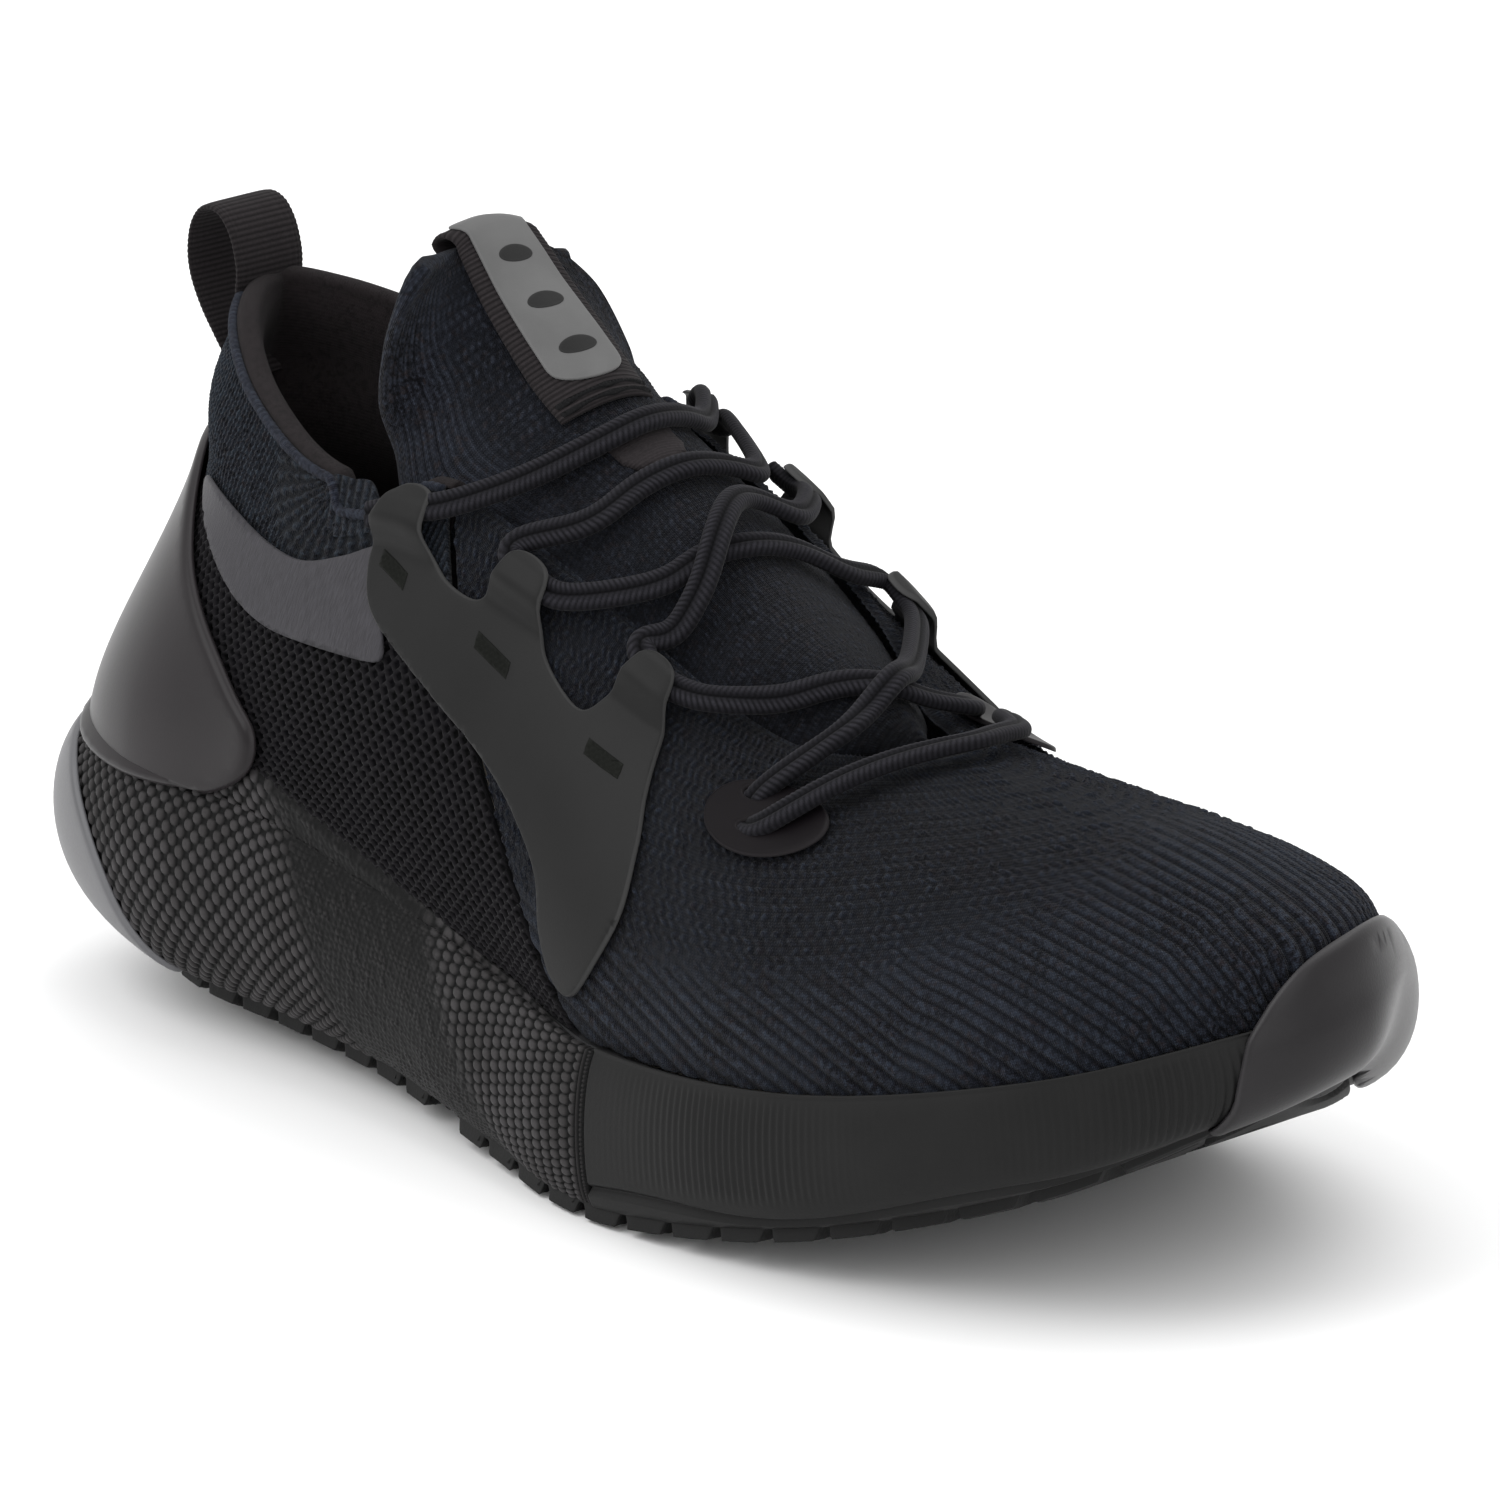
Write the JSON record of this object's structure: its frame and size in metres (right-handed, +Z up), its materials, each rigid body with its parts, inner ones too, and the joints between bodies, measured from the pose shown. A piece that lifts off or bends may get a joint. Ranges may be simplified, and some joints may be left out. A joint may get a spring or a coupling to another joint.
{
  "type": "running shoe",
  "caption": "Low-cut running shoe: knit bootie upper with film eyestays, laces and pull loop, glossy heel counter, foam midsole wrapped in mesh, rubber tread.",
  "frame": {"origin": "on the ground, at the middle of the shoe's length and width", "axes": "+X from heel to toe, +Y towards the inner (medial) side, +Z up"},
  "size_m": [0.2974, 0.1066, 0.1403],
  "materials": {
    "foam": "moulded foam, matte",
    "wrap": "coarse woven mesh",
    "sidewall": "matte moulded foam skin",
    "clip": "smooth satin rubber",
    "bumper": "glossy moulded rubber",
    "outsole": "matte tread rubber",
    "vamp": "ribbed engineered knit",
    "mesh": "open diamond mesh",
    "collar": "fine ribbed knit",
    "lining": "smooth brushed lining",
    "foam_soft": "open cell foam",
    "board": "non-woven board",
    "film": "matte pressed film",
    "band": "satin brushed film",
    "tpu": "translucent smooth film",
    "counter": "glossy moulded shell",
    "tongue": "speckled knit",
    "cover": "brushed sock cloth",
    "webbing": "ribbed webbing",
    "strip": "smooth grey rubber",
    "lace": "braided lace"
  },
  "bodies": {
    "shoe": {"midsole_core": "foam", "strobel_board": "board", "midsole_mesh_wrap": "wrap", "forefoot_sidewall": "sidewall", "heel_clip": "clip", "toe_bumper": "bumper", "outsole_heel": "outsole", "outsole_forefoot": "outsole", "vamp_knit": "vamp", "quarter_mesh_lateral": "mesh", "quarter_mesh_medial": "mesh", "collar_knit": "collar", "gusset_lateral": "collar", "gusset_medial": "collar", "collar_lining": "lining", "collar_foam": "foam_soft", "heel_stiffener": "board", "toe_puff": "board", "eyestay_lateral": "film", "eyestay_medial": "film", "collar_band_lateral": "band", "collar_band_medial": "band", "eyelet_patch_lateral": "tpu", "eyelet_patch_medial": "tpu", "heel_counter": "counter", "tongue_lower": "tongue", "tongue_label": "webbing", "loop_leg_outer": "webbing", "loop_leg_inner": "webbing", "lace": "lace"},
    "sockliner": {"sockliner_foam": "foam_soft", "sockliner_cover": "cover"},
    "tongue": {"tongue_top": "tongue", "tongue_tab_webbing": "webbing", "tongue_tab_strip": "strip"},
    "loop": {"heel_pull_loop": "webbing"}
  },
  "joints": [
    {"name": "tongue_flex", "type": "hinge", "parent": "shoe", "child": "tongue", "pos_m": [-0.02455, 0.00191, 0.11433], "axis": [0, 1, 0], "range_deg": [0, 12]},
    {"name": "pull_loop_flex", "type": "hinge", "parent": "shoe", "child": "loop", "pos_m": [-0.1133, 0.0012, 0.1201], "axis": [0, 1, 0], "range_deg": [-4, 4]},
    {"name": "sockliner_lift", "type": "hinge", "parent": "shoe", "child": "sockliner", "pos_m": [0.137, 0.0012, 0.0445], "axis": [0, 1, 0], "range_deg": [0, 2]}
  ]
}
